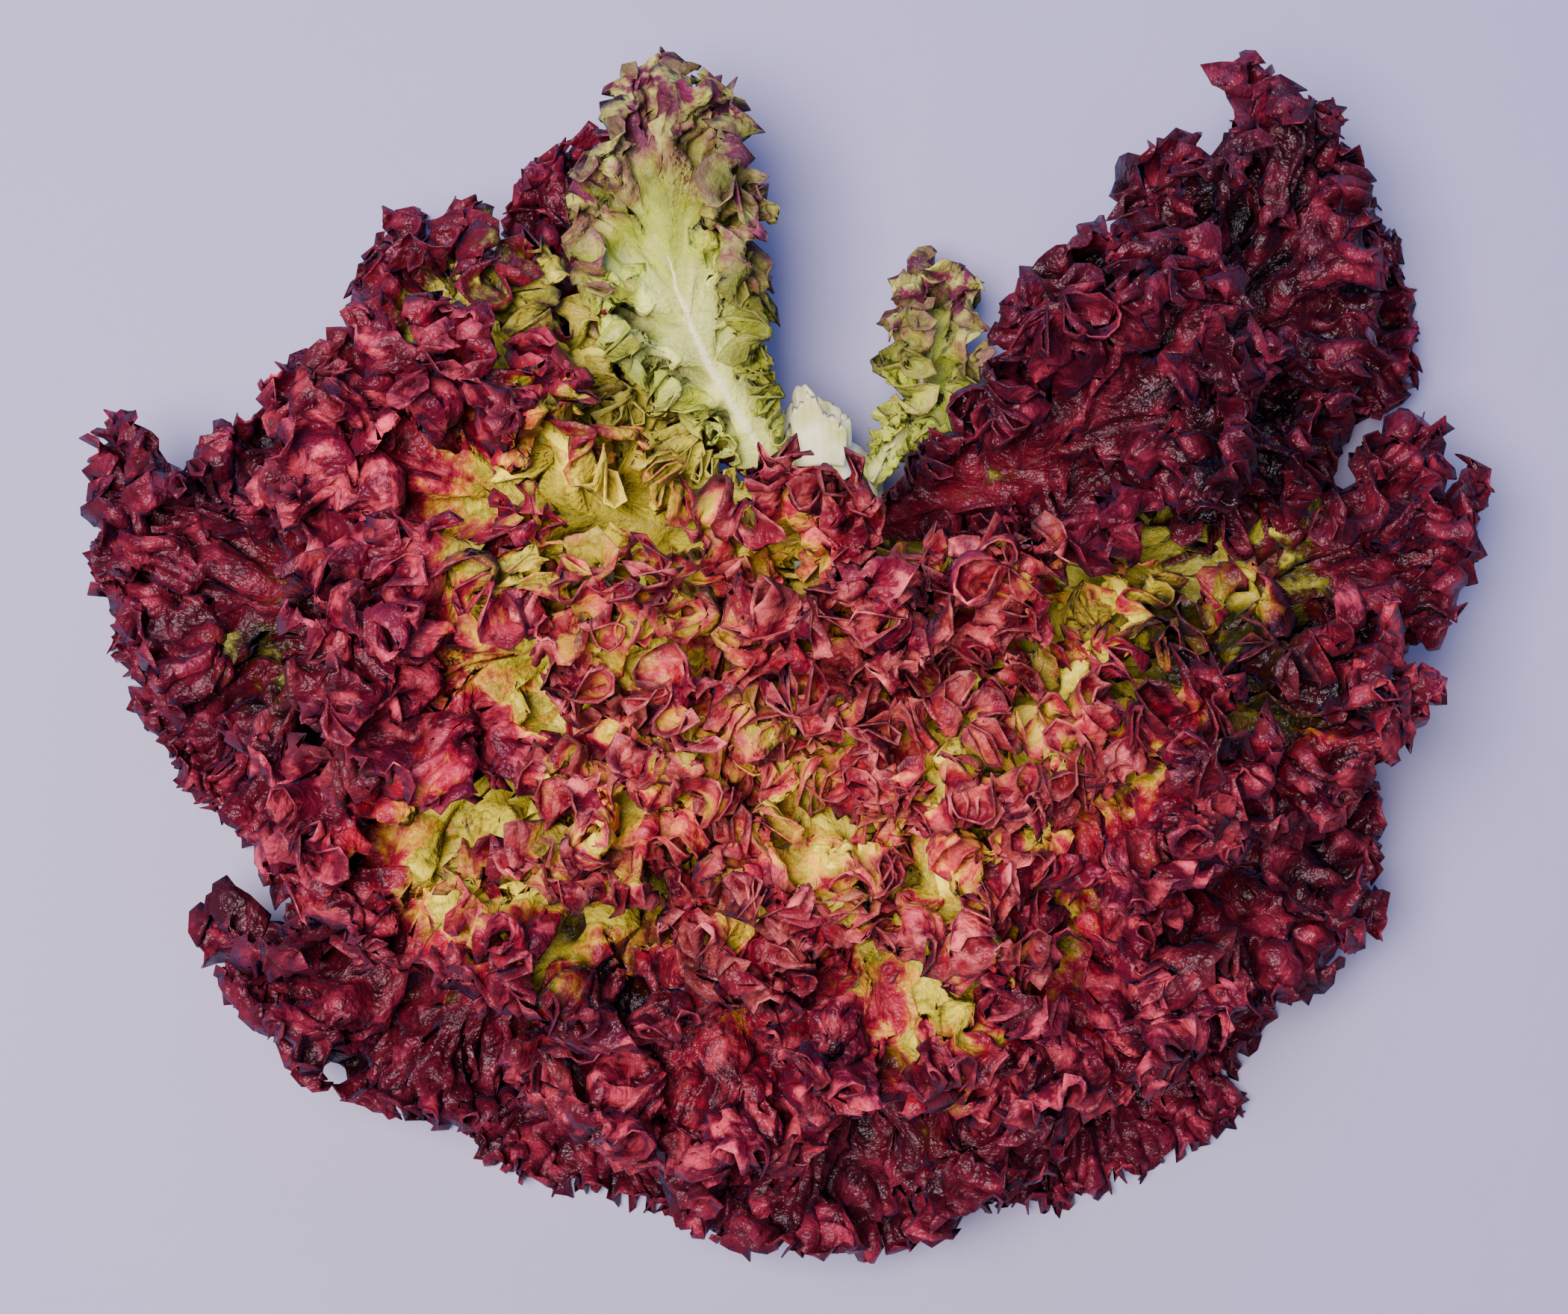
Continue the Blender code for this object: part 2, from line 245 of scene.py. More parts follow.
@dataclass(frozen=True)
class LeafFinish:
    """Fresh leaf: a thin green blade with red sap near its rim, under a waxy skin that mirrors the sky."""

    name: str
    stops: tuple  # place from midrib to rim and colour
    rib: str
    edge: str
    back: str  # the duller underside
    blush: str  # where the red sap is thin, in small patches
    patchiness: float = 0.5  # how far the patches shift the colours, as a share of the way to the rim
    mottling: float = 1.1  # and the smaller mottles
    gloss: float = 0.36
    glow: float = 0.28  # share of the light that comes through the blade
    rib_wide: float = 0.09  # the midrib's width at the foot, as a share of the way to the rim

    # Each noise's real width and its detail. Skin cells are finer: the grain is as coarse as it needs to show
    NOISES = {"patch": (26 * MM, 2), "mottle": (3.6 * MM, 3), "blush": (5.5 * MM, 4), "crinkle": (1.7 * MM, 2),
              "grain": (0.7 * MM, 1)}
    NET = 3.4 * MM  # mesh of the fine veins

    RIMWARD, OUTWARD, ON_CRESTS = 0.55, 0.8, 0.12  # how much redder a rim, a tip or a crest is; the crest share follows the painted light and shade, so painted-shade hollows also turn greener
    SAP_SCALE = 0.85  # of all that, on the way through the colours
    BLUSHES = {1: 0.48, 2: 0.62, 3: 0.0, 4: 0.8}  # the noise where the blush starts and is full, and its share
    SHADES = {1: -1.5, 2: 1.3, 3: 0.04, 4: 1.86}  # painted shade and painted highlight: the colour's brightness from the deepest hollow to the highest crest
    DULL = 0.3  # share of the underside's colour
    VEIN_WIDE, VEIN_SHARE = 0.09, 0.35
    RIB_REACH, RIB_TIP = 0.7, 0.02  # where the midrib ends on the way to the tip, and its width there
    EDGE = {1: 0.965, 2: 1.0, 3: 0.0, 4: 0.10}  # where the rim's colour starts and is full, and its share; on the red leaves this paler rim is partly the tips' own colour and partly a painted highlight on lit tips

    def sap(self, add: Adder, read: dict[str, Socket]) -> Socket:
        """How red the blade is.

        Args:
            add: adds a node to the material's tree.
            read: the piece's own values and the noises.

        Returns:
            0 where the blade is palest, 1 where it is darkest.
        """
        shares = {"rimward": self.RIMWARD, "outward": self.OUTWARD, "painted_shading": self.ON_CRESTS, "tint": -1.0,
                  "patch": self.patchiness, "mottle": self.mottling}
        amount = -0.5 * (self.patchiness + self.mottling)  # the noises swing about 0.5
        for name, share in shares.items():
            amount = add("ShaderNodeMath", {0: read[name], 1: share, 2: amount}, operation="MULTIPLY_ADD")
        return add("ShaderNodeMath", {0: amount, 1: self.SAP_SCALE}, operation="MULTIPLY")

    def colour(self, add: Adder, read: dict[str, Socket]) -> Socket:
        """The blade's colour, one layer over the other, with painted light and shade multiplied in.

        Args:
            add: adds a node to the material's tree.
            read: the piece's own values, the noises and the veins.

        Returns:
            The colour.
        """
        sap = self.sap(add, read)
        thin = add("ShaderNodeMapRange", {0: read["blush"], **self.BLUSHES})
        thin = add("ShaderNodeMath", {0: thin, 1: sap}, operation="MULTIPLY", use_clamp=True)
        # Painted light and shade: the colour is darkened in the hollows and at the painted shade places, and
        # brightened into a painted highlight on the crests
        shade = add("ShaderNodeMapRange", {0: read["painted_shading"], **self.SHADES})
        below = add("ShaderNodeMath", {0: read["under"], 1: self.DULL}, operation="MULTIPLY")
        veined = add("ShaderNodeMath", {0: read["vein"], 1: self.VEIN_SHARE}, operation="MULTIPLY")
        wide = add("ShaderNodeMapRange", {0: read["outward"], 1: 0.0, 2: self.RIB_REACH, 3: self.rib_wide,
                                          4: self.RIB_TIP})
        rib = add("ShaderNodeMapRange", {0: read["rimward"], 1: wide, 2: 0.0, 3: 0.0, 4: 1.0},
                  interpolation_type="SMOOTHSTEP")
        # the rim's colour: on the red leaves a paler rim, partly the tips' own colour and partly a painted
        # highlight on lit tips
        edge = add("ShaderNodeMapRange", {0: read["rimward"], **self.EDGE}, interpolation_type="SMOOTHSTEP")
        colour = add("ShaderNodeValToRGB", {"Fac": sap}, self.stops)
        for share, layer, how in ((thin, linear(self.blush), "MIX"), (1.0, shade, "MULTIPLY"),
                                  (below, linear(self.back), "MIX"), (veined, linear(self.rib), "SOFT_LIGHT"),
                                  (rib, linear(self.rib), "MIX"), (edge, linear(self.edge), "MIX")):
            colour = add("ShaderNodeMix", {0: share, 6: colour, 7: layer}, out=2, data_type="RGBA", blend_type=how)
        return colour

    def make(self) -> bpy.types.Material:
        """Makes the material."""
        material, tree, add = new_material(self.name)
        tree.nodes.clear()
        place = add("ShaderNodeTexCoord", out="Object")
        read = {name: add("ShaderNodeAttribute", out="Fac", attribute_name=name)
                for name in ("rimward", "outward", "tint", "painted_shading", "under")}
        for name, (width, detail) in self.NOISES.items():
            read[name] = add("ShaderNodeTexNoise", {"Vector": place, "Scale": 1 / width, "Detail": detail})
        blade = add("ShaderNodeUVMap", uv_map="blade")
        net = add("ShaderNodeTexVoronoi", {"Vector": blade, "Scale": MM / self.NET, "Randomness": 0.9},
                  voronoi_dimensions="2D", feature="DISTANCE_TO_EDGE")
        read["vein"] = add("ShaderNodeValToRGB", {"Fac": net}, ((0.0, "#ffffff"), (self.VEIN_WIDE, "#000000")))
        colour = self.colour(add, read)
        relief = add("ShaderNodeMath", {0: read["grain"], 1: 0.25, 2: read["vein"]}, operation="MULTIPLY_ADD")
        fine = add("ShaderNodeBump", {"Strength": 0.3, "Distance": 0.25 * MM, "Height": relief})
        normal = add("ShaderNodeBump", {"Strength": 0.8, "Distance": 1.2 * MM, "Height": read["crinkle"],
                                        "Normal": fine})
        rough = add("ShaderNodeMapRange",
                    {0: read["mottle"], 1: 0.3, 2: 0.7, 3: self.gloss - 0.08, 4: self.gloss + 0.10})
        skin = add("ShaderNodeBsdfPrincipled",
                   {"Base Color": colour, "Roughness": rough, "Normal": normal, "IOR": 1.38,
                    "Specular IOR Level": 0.42, "Specular Tint": linear("#dcd4f8"), "Sheen Weight": 0.05,
                    "Sheen Roughness": 0.35, "Sheen Tint": linear("#9088f4")})
        through = add("ShaderNodeBsdfTranslucent", {"Color": colour, "Normal": normal})
        both = add("ShaderNodeMixShader", {0: self.glow, 1: skin, 2: through})
        add("ShaderNodeOutputMaterial", {"Surface": both})
        return material


# The oldest leaf, full of red sap all through: so dark that mostly its gloss shows its folds
MAROON = LeafFinish("maroon_frilled_leaf",
                    ((0.0, "#b0a840"), (0.14, "#5c5a1a"), (0.26, "#44180e"), (0.42, "#4e091a"), (0.75, "#320512"),
                     (1.0, "#40091a")),
                    rib="#54202a", edge="#7c2840", back="#481020", blush="#6c1c32", patchiness=0.9, gloss=0.36,
                    glow=0.14, rib_wide=0.03)
# Red on the frills and gold green where the blade lies in shade, with broken highlights
RED = LeafFinish("wine_red_frilled_leaf",
                 ((0.0, "#ccbc3c"), (0.12, "#8a8420"), (0.22, "#cc9c30"), (0.34, "#a05c2c"), (0.46, "#84122b"),
                  (0.75, "#3c0618"), (1.0, "#4c0a20")),
                 rib="#a89848", edge="#b85064", back="#601626", blush="#b03c54", patchiness=1.5, gloss=0.35,
                 glow=0.24, rib_wide=0.05)
# Young and thin, so light comes through it: rose, with gold green at its foot
ROSE = LeafFinish("rose_frilled_leaf",
                  ((0.0, "#e0cc4c"), (0.14, "#a8961c"), (0.26, "#dcac38"), (0.38, "#cc784c"), (0.50, "#a4243a"),
                   (0.75, "#54081e"), (1.0, "#6c122c")),
                  rib="#c4b060", edge="#dc8884", back="#80282e", blush="#d4646c", patchiness=1.9, gloss=0.36,
                  glow=0.34, rib_wide=0.05)
# Grown in shade, with hardly any sap: green with a cream midrib, and a purple tinge at the rim
PALE = LeafFinish("pale_green_leaf",
                  ((0.0, "#c4cc7c"), (0.3, "#a4b03c"), (0.48, "#949c34"), (0.62, "#7c6440"), (0.76, "#683248"),
                   (1.0, "#541c3a")),
                  rib="#efecd0", edge="#6c3048", back="#848a48", blush="#b0b45c", patchiness=0.6, mottling=0.5,
                  gloss=0.42, glow=0.34, rib_wide=0.20)


@dataclass(frozen=True)
class FleshFinish:
    """Stem flesh: cream and moist, finely fibrous along the stem, browned where it is torn."""

    name: str = "stem_flesh_cream"
    cream: str = "#e3e2cd"
    green: str = "#b9c07c"
    brown: str = "#8e7a48"

    # Each noise's real width and its detail. Real fibres are finer: these are as coarse as they need to show
    NOISES = (6 * MM, 3), (0.9 * MM, 2)

    def make(self) -> bpy.types.Material:
        """Makes the material."""
        material, tree, add = new_material(self.name)
        place = add("ShaderNodeTexCoord", out="Object")
        torn = add("ShaderNodeAttribute", out="Fac", attribute_name="torn")
        blotch, fibres = (add("ShaderNodeTexNoise", {"Vector": place, "Scale": 1 / width, "Detail": detail})
                          for width, detail in self.NOISES)
        colour = add("ShaderNodeValToRGB", {"Fac": blotch}, ((0.3, self.green), (0.6, self.cream)))
        browned = add("ShaderNodeMath", {0: torn, 1: blotch}, operation="MULTIPLY")
        brown = add("ShaderNodeMix", {0: browned, 6: colour, 7: linear(self.brown)}, out=2, data_type="RGBA")
        bump = add("ShaderNodeBump", {"Strength": 0.4, "Distance": 0.3 * MM, "Height": fibres})
        shader = tree.nodes["Principled BSDF"]
        tree.links.new(brown, shader.inputs["Base Color"])
        tree.links.new(bump, shader.inputs["Normal"])
        shader.inputs["Roughness"].default_value = 0.42
        shader.inputs["Subsurface Weight"].default_value = 0.25
        shader.inputs["Subsurface Radius"].default_value = (1.0, 0.8, 0.4)
        shader.inputs["Subsurface Scale"].default_value = 1.5 * MM
        return material


@dataclass(frozen=True)
class HeadPlan:
    """How the head is laid out, in the solids' own sizes: a leaning stem and leaves that fan out round it."""

    lean: float = radians(45)
    heart: tuple = (0.0098, 0.0203, 0.031)
    half: float = 0.015
    torn: float = 0.029
    wide: float = 0.0120
    narrow: float = 0.0055
    skin: float = 0.0006
    table_softness: float = 0.010
    table_drop: float = 0.0038
    table_reach: float = 0.022

    @property
    def axis(self) -> Array:
        """The stem's axis, from its torn end to the heart."""
        return np.array([0.0, -sin(self.lean), cos(self.lean)])

    @staticmethod
    def level(bearing: Array) -> Array:
        """Level unit vectors along each bearing."""
        return np.stack([np.cos(bearing), np.sin(bearing), np.zeros_like(bearing)], -1)

    def off_axis(self, bearing: Array) -> Array:
        """Unit vectors square to the stem's axis, on the side of each bearing."""
        heading = self.level(bearing)
        return unit(heading - (heading @ self.axis)[:, None] * self.axis)

    def fan(self, bearing: Array, rise: Array, distance: Array, half: Array) -> Array:
        """Places points in the head.

        Args:
            bearing: round the stem, in radians.
            rise: 0 level, 1 along the stem's axis.
            distance: from the stem.
            half: half the blade's thickness there.

        Returns:
            The points.
        """
        angle = np.arccos(self.level(bearing) @ self.axis) * (1 - rise)
        risen = np.clip(rise, 0, 1)
        along = self.half * (2 * risen - 1) + distance * np.cos(angle)
        across = self.wide + (self.narrow - self.wide) * risen + self.skin + half + distance * np.sin(angle)
        points = np.array(self.heart) + along[:, None] * self.axis + across[:, None] * self.off_axis(bearing)
        z = points[:, 2]
        landed = (z + np.sqrt(z * z + self.table_softness**2)) / 2 - self.table_drop
        points[:, 2] = np.maximum(landed + (z - landed) * smooth(z / self.table_reach), half)
        return points


PLAN = HeadPlan()


@dataclass(frozen=True)
class Outline:
    """A leaf's outline, in shares of half its width and of its reach."""

    turn: float = radians(150)
    middle: float = 0.56
    round: float = 0.44
    full: float = 0.8
    side_from: float = radians(90)
    side_over: float = radians(60)
    foot_from: float = 0.88
    foot_wide: float = 0.80
    foot_spread: float = 0.10
    paces: int = 801

    def rim(self, s: Array) -> tuple[Array, Array, Array]:
        """Where the rim runs.

        Args:
            s: round the rim, from -1 at one foot to 1 at the other.

        Returns:
            Its shares of half the width and of the reach, and the turn round the outline.
        """
        foot = np.clip((np.abs(s) - self.foot_from) / (1 - self.foot_from), 0, 1)
        turn = np.minimum(np.abs(s) / self.foot_from, 1) * self.turn
        side = smooth((turn - self.side_from) / self.side_over)
        x = np.sin(turn) ** self.full * (1 - side) + self.foot_wide * side + self.foot_spread * foot
        return np.sign(s) * x, (self.middle + self.round * np.cos(turn)) * (1 - foot), np.sign(s) * turn


OUTLINE = Outline()


@dataclass(frozen=True)
class Ring:
    """A ring of leaves that share one rise: each leaf is its bearing, half its width in degrees, its reach."""

    name: str
    tissue: Tissue
    rise: float
    room: float
    ripples: int
    lean: float
    leaves: tuple
    upward: float = 0.12  # how far the frills roll up more than under


RINGS = (
    Ring("outer", Tissue.MAROON, -0.20, 0.095, 11, 0.02,
         ((134, 15, 0.092), (167, 16, 0.106), (203, 20, 0.148), (248, 22, 0.152), (293, 21, 0.146),
          (337, 20, 0.118), (378, 18, 0.131), (415, 12, 0.050)), upward=0.45),
    Ring("second", Tissue.MAROON, 0.13, 0.070, 11, 0.10,
         ((117, 13, 0.086), (147, 15, 0.096), (184, 20, 0.138), (228, 21, 0.148), (273, 22, 0.148),
          (317, 20, 0.126), (357, 18, 0.119), (394, 18, 0.122))),
    Ring("third", Tissue.RED, 0.30, 0.070, 11, 0.10,
         ((154, 22, 0.106), (204, 22, 0.124), (252, 22, 0.132), (300, 22, 0.128), (348, 22, 0.112))),
    Ring("fourth", Tissue.RED, 0.46, 0.070, 10, 0.10,
         ((170, 27, 0.104), (228, 26, 0.114), (285, 26, 0.114), (342, 26, 0.100))),
    Ring("fifth", Tissue.ROSE, 0.62, 0.070, 9, 0.10,
         ((350, 21, 0.076), (396, 20, 0.054), (106, 20, 0.050), (152, 21, 0.072), (200, 22, 0.088),
          (251, 21, 0.090), (301, 22, 0.090))),
    Ring("heart", Tissue.ROSE, 0.785, 0.070, 7, 0.10,
         ((90, 38, 0.050), (174, 40, 0.064), (261, 40, 0.080), (347, 40, 0.066))),
    Ring("bud", Tissue.ROSE, 0.945, 0.035, 8, 0.08,
         ((135, 78, 0.046), (315, 78, 0.054))),
    Ring("back", Tissue.MAROON, 0.30, 0.070, 9, 0.10, ((402, 20, 0.092),)),
)
PALE_LEAVES = ("second_leaf_1", "outer_leaf_8")
SEED = 14

# Where leaf shows through greener, as on any head with some shaded leaf: place and width in mm, how much
GREEN_PLACES = ((-56, 16, 20, 0.4), (-36, -8, 16, 0.5), (-47, -40, 20, 0.5), (27, -45, 20, 0.5), (54, -8, 13, 0.5),
                (91, 18, 26, 0.6), (-31, 32, 15, 0.45), (-111, 0, 12, 0.4), (32, -72, 12, 0.5), (40, -99, 10, 0.5),
                (-45, 58, 28, 0.65), (3, -20, 12, 0.4), (-30, -10, 60, 0.2), (45, -20, 40, 0.16),
                (-78, -58, 28, 0.22), (-64, 40, 18, -0.5), (-64, -4, 15, -0.35))

# Where the leaf colour is darkened: painted shade in the hollows among the rings and under overhanging frills, and
# the darker colour of the oldest, most coloured frills
PAINTED_SHADE_PLACES = ((105, -10, 24, 1), (80, 3, 11, 1.2), (98, 0, 11, 1.1), (97, 40, 18, 0.8), (-101, -4, 15, 1.2),
                 (-31, -60, 13, 1.3), (30, -115, 40, 0.25), (-40, -75, 22, 0.4), (95, 85, 50, 0.9),
                 (110, -50, 35, 0.25), (-135, 40, 30, 0.2))

# How much greener than its ring a leaf is, or redder
TINTS = {"second_leaf_1": 0.12, "second_leaf_2": 0.50, "outer_leaf_8": 0.20, "third_leaf_5": 0.15,
         "fifth_leaf_3": 0.15, "back_leaf_1": -0.50, "second_leaf_8": -0.20, "outer_leaf_7": -0.10}

# How much more or less crumpled than the others a leaf is
CRUMPLES = {"second_leaf_1": 0.5, "outer_leaf_8": 0.6, "second_leaf_2": 0.7, "back_leaf_1": 1.5,
            "third_leaf_1": 1.5, "third_leaf_2": 1.3, "fourth_leaf_1": 1.3}


@dataclass
class Leaf:
    """One frilled leaf: the solid's own blade, with its frill, crimps, teeth and blisters in full."""

    ring: Ring
    number: int
    draw: Array
    plan: HeadPlan = PLAN
    outline: Outline = OUTLINE
    rib_thick: float = 0.0016
    rim_share: float = 0.44
    rib_share: float = 0.5
    rib_reach: float = 0.64
    rib_taper: float = 1.3
    cup: float = 0.04
    foot_lift: float = 0.05
    foot_reach: float = 0.06
    droop: float = 0.25
    droop_from: float = 0.62
    lobe_deep: float = 0.04
    lobes: float = 2.6
    facing: float = 265
    bend: float = 10
    bend_over: float = 150
    lying_ease: float = 0.5
    ripple_high: float = 0.0100
    ripple_steep: float = 0.40
    ripple_from: float = 0.2
    ripple_growth: float = 1.5
    ripple_end: float = 0.94
    ripple_fade: float = 0.45
    ripple_varies: float = 0.15
    ripple_swells: float = 5
    lean_from: float = 0.8
    scallop: float = 0.0022
    least_spread: float = 0.010
    least_girth: float = 0.020
    # Bands of rows from midrib to rim: each band has twice the columns of the one before
    bands: tuple = ((0.0, 0.22, 0.38), (0.47, 0.55, 0.61, 0.67), (0.72, 0.765, 0.81, 0.85, 0.885),
                    (0.915, 0.945, 0.972, 1.0))
    column_apart: float = 2.55 * MM  # of the first band
    frill_apart: float = 2.9 * MM
    roll_wide: float = 4.0 * MM  # how much of the blade rolls up or under
    roll_turn: float = 2.7  # how far it rolls at a frill's crest, in radians
    roll_longer: float = 0.30  # extra length of the rim, as a share of the roll
    wave_high: float = 2.4 * MM
    wave_from: float = 0.30
    frill_lean: float = 1.1 * MM
    frill_strays: float = 2.5  # how far the frills' phase strays from cell to cell
    stray_wide: float = 6.5 * MM
    fold: float = 4.5 * MM  # width of the uneven folds over the blade
    fold_high: float = 3.6 * MM
    crinkle: float = 3.2 * MM  # and of the crinkles on them
    crinkle_high: float = 1.2 * MM
    rim_crinkle: float = 1.7 * MM  # narrower at the rim, which the frills stretch
    rim_crinkle_high: float = 0.7 * MM
    tooth_columns: int = 3  # of the last band, on one tooth
    tooth_high: float = 1.8 * MM
    rim_thick: float = 0.34 * MM
    name: str = field(init=False)

    SET_APART = 17.3  # of one set of bumps from the next, in bumps
    EVENER = 1.35  # blended bumps are lower than the lattice's own values
    LATTICE = 23, 29, 31  # unlike sizes, so that it doesn't repeat within a leaf
    TOOTH_HEIGHTS = 0.2, 1.25
    # Where each part of the shape starts, from midrib to rim, and the way that it takes to grow
    FOLDS = 0.06, 0.30
    CRINKLES = 0.1, 0.2
    RIM_CRINKLES = 0.8, 0.2
    TEETH = 0.9, 0.1
    FOLD_SIDEWAYS = 0.8  # of a fold's height
    FOLD_EASE = 0.4  # how much flatter the folds are on the rolled rim
    WAVE_GROWTH, WAVE_BEHIND = 1.5, 0.5  # the waves follow the roll by so many radians
    PHASE_STRAYS, PHASE_DRIFT, DRIFT_WAVES = 4.0, 1.2, 2.6
    ROLL_VARIES, ROLL_MOST = 0.3, 0.7  # the most as a share of the way to the midrib
    TURN_SHARE, TURN_VARIES, LEAST_TURN = 0.85, 0.45, 0.001
    FEET_PAST, FEET_FADE = 0.03, 0.2
    TOOTH_SHARP, TOOTH_ROOT = 1.5, 0.3
    LEAST, LOW, HIGH, ROOM = 0.3 * MM, 2.5 * MM, 87 * MM, 9 * MM  # rims ease onto the table, and under the top
    ROLL_CREST, FOLD_CREST, CRINKLE_CREST = 0.5, 0.8, 0.6  # what each adds to the painted highlight on the crests and the painted shade in the hollows
    RIB_FADE, RIB_WEIGHT, RIB_THICK = 0.35, 0.953125, 2.4 * MM  # 2.3 mm at the midrib, thinner beside it
    MERGED = 0.05 * MM
    GREEN_SHARE, GREEN_FALL, GREEN_EVEN, GREEN_UNEVEN = 1.35, 0.7, 0.9, 0.7
    RIM_GREEN, RIM_LESS = (0.88, 0.12), 0.45  # the rim is less green, from there on
    UV_WIDE = 0.4  # how wide a blade is laid out from midrib to rim, as a share of its reach

    def __post_init__(self) -> None:
        """Names the leaf after its solid and works out what follows from its sizes, with its random draws."""
        self.name = f"{self.ring.name}_leaf_{self.number + 1}"
        self.bearing, self.half_width, self.reach = self.ring.leaves[self.number]
        self.fold_high = self.fold_high * CRUMPLES.get(self.name, 1.0)
        wide = radians(self.half_width)
        self.opening = float(np.arccos(self.plan.level(np.array(radians(self.bearing))) @ self.plan.axis))
        self.widening = sin(self.opening * (1 - max(self.ring.rise, 0)))
        paces = np.linspace(-1, 1, self.outline.paces)
        x, y, _ = self.outline.rim(paces)
        girth = self.plan.wide + y[1:] * self.reach * self.widening
        walked = np.concatenate([[0], np.cumsum(np.hypot(np.diff(x) * wide * girth, np.diff(y) * self.reach))])
        self.paces = paces
        self.walked = walked
        self.length = walked[-1] / self.ring.ripples
        self.columns = self.ring.ripples * max(5, round(self.length / self.column_apart))
        self.frills = max(1.5, self.length / self.frill_apart)
        random = np.random.default_rng([SEED, round(self.bearing), round(self.reach / MM)])
        self.wander = random.uniform(0, 2 * pi, (3, 4))
        self.rows = [v for band in self.bands for v in band]
        self.teeth = self.columns * 2 ** (len(self.bands) - 1) / self.tooth_columns
        self.heights = random.uniform(*self.TOOTH_HEIGHTS, int(self.teeth) + 2)
        self.lattice = random.uniform(-1, 1, self.LATTICE)

    def half_blade(self, v: Array) -> Array:
        """Half the solid blade's thickness."""
        return self.rib_thick / 2 * (1 + (self.rim_share - 1) * smooth(v / self.rib_share))

    def turns(self, s: Array) -> Array:
        """The ripples' phase along the rim."""
        return (s + 1) * self.ring.ripples * pi + pi / 4

    def laid(self, s: Array, v: Array) -> tuple[Array, Array, Array, Array]:
        """Where places lie on the flat outline.

        Args:
            s: round the rim, by its length.
            v: from the midrib to the rim.

        Returns:
            The share round the outline, the rim's share of half the width, the share of the reach and the turn.
        """
        pace = np.interp((s + 1) / 2 * self.walked[-1], self.walked, self.paces)
        rim_x, rim_y, turn = self.outline.rim(pace)
        rib_y = self.rib_reach * (1 - np.abs(pace) ** self.rib_taper)
        return pace, rim_x, rib_y + (rim_y - rib_y) * v, turn

    def solid(self, s: Array, v: Array) -> Array:
        """The solid's own blade.

        Args:
            s: round the rim, from -1 at one foot to 1 at the other.
            v: from the midrib at 0 to the rim at 1.

        Returns:
            The points.
        """
        ring = self.ring
        turns = self.turns(s)
        s = np.clip(s, -1, 1)
        wide = radians(self.half_width)
        lying = ring.rise < 0
        base = ring.rise
        if lying:
            base = ring.rise * ((pi / 2 - self.plan.lean) / self.opening) ** self.lying_ease
        s, rim_x, y, turn = self.laid(s, v)
        y = y * (1 + self.lobe_deep * np.sin(self.lobes * turn + self.draw[0]) * v)
        x = rim_x * v
        distance = y * self.reach
        lift = self.foot_lift * (1 - np.clip(distance / self.foot_reach, 0, 1))
        rise = base + self.cup * x * x + lift - self.droop * np.clip(y - self.droop_from, 0, 1) ** 2
        girth = self.plan.wide + distance * self.widening
        grow = np.clip((v - self.ripple_from) / (1 - self.ripple_from), 0, 1) ** self.ripple_growth
        grow = grow * smooth((self.ripple_end - np.abs(s)) / self.ripple_fade)
        high = min(self.ripple_high, self.ripple_steep * self.length)
        high = high * (1 - self.ripple_varies + self.ripple_varies * np.sin(self.ripple_swells * s + self.draw[1]))
        wave = np.sin(turns) + lying
        rise = rise + grow * wave * np.minimum(high / np.maximum(distance * self.opening, self.least_spread),
                                               ring.room)
        lean = climb(v, self.lean_from, 1 - self.lean_from) * ring.lean * self.length
        lean = -grow * lean * np.sin(2 * turns)
        out = -grow * self.scallop * np.sin(turns)
        across = lean * np.cos(turn) + out * np.sin(turn)
        distance = distance - lean * np.sin(turn) + out * np.cos(turn)
        bend = radians(self.bend) * (self.bearing - self.facing) / self.bend_over * y**2
        turned = radians(self.bearing) + x * wide + bend + across / np.maximum(girth, self.least_girth)
        return self.plan.fan(turned, rise, distance, self.half_blade(v))

    def stray(self, s: Array, v: Array, which: int) -> Array:
        """A slow uneven wave over the blade.

        Args:
            s: round the rim.
            v: from the midrib to the rim.
            which: picks one of three unlike waves.

        Returns:
            The wave, from -1 to 1.
        """
        a, b, c, d = self.wander[which]
        slow, beat, quick = 4.3, 2.1, 9.7  # half waves along half the rim: no two fall in step
        tilt, bow, bows = 1.1, 2.5, 3  # and how they shift from midrib to rim
        first = np.sin(slow * s * pi + a + tilt * v) * np.sin(beat * s * pi + b)
        return 0.6 * first + 0.4 * np.sin(quick * s * pi + c + bow * np.sin(bows * v + d))

    def bumps(self, places: Array, width: float, which: int) -> Array:
        """Uneven bumps through space, from -1 to 1.

        Args:
            places: where to read them.
            width: how wide a bump is.
            which: picks one of several unlike sets.

        Returns:
            The bumps.
        """
        at = places / width + self.SET_APART * which
        low = np.floor(at).astype(int)
        share = smooth(at - low)
        total = np.zeros(len(places))
        for corner in product((0, 1), repeat=3):
            column, row, layer = ((low + corner) % self.lattice.shape).T
            total += np.where(corner, share, 1 - share).prod(1) * self.lattice[column, row, layer]
        return total * self.EVENER

    @staticmethod
    def axes(place: Place, s: Array, v: Array) -> tuple[Array, Array, Array]:
        """A surface's unit vectors: up from it, along the rim and outwards.

        Args:
            place: gives the surface's points.
            s: round the rim.
            v: from the midrib to the rim.

        Returns:
            The three sets of vectors.
        """
        step_s, step_v = 0.0015, 0.01
        along = unit(place(np.minimum(s + step_s, 1), v) - place(np.maximum(s - step_s, -1), v))
        out = unit(place(s, np.minimum(v + step_v, 1)) - place(s, np.maximum(v - step_v, 0)))
        up = unit(np.cross(out, along))
        return up, along, unit(np.cross(along, up))

    def feet(self, s: Array) -> Array:
        """1 over the blade, fading to 0 at its feet."""
        return smooth((self.ripple_end + self.FEET_PAST - np.abs(s)) / self.FEET_FADE)

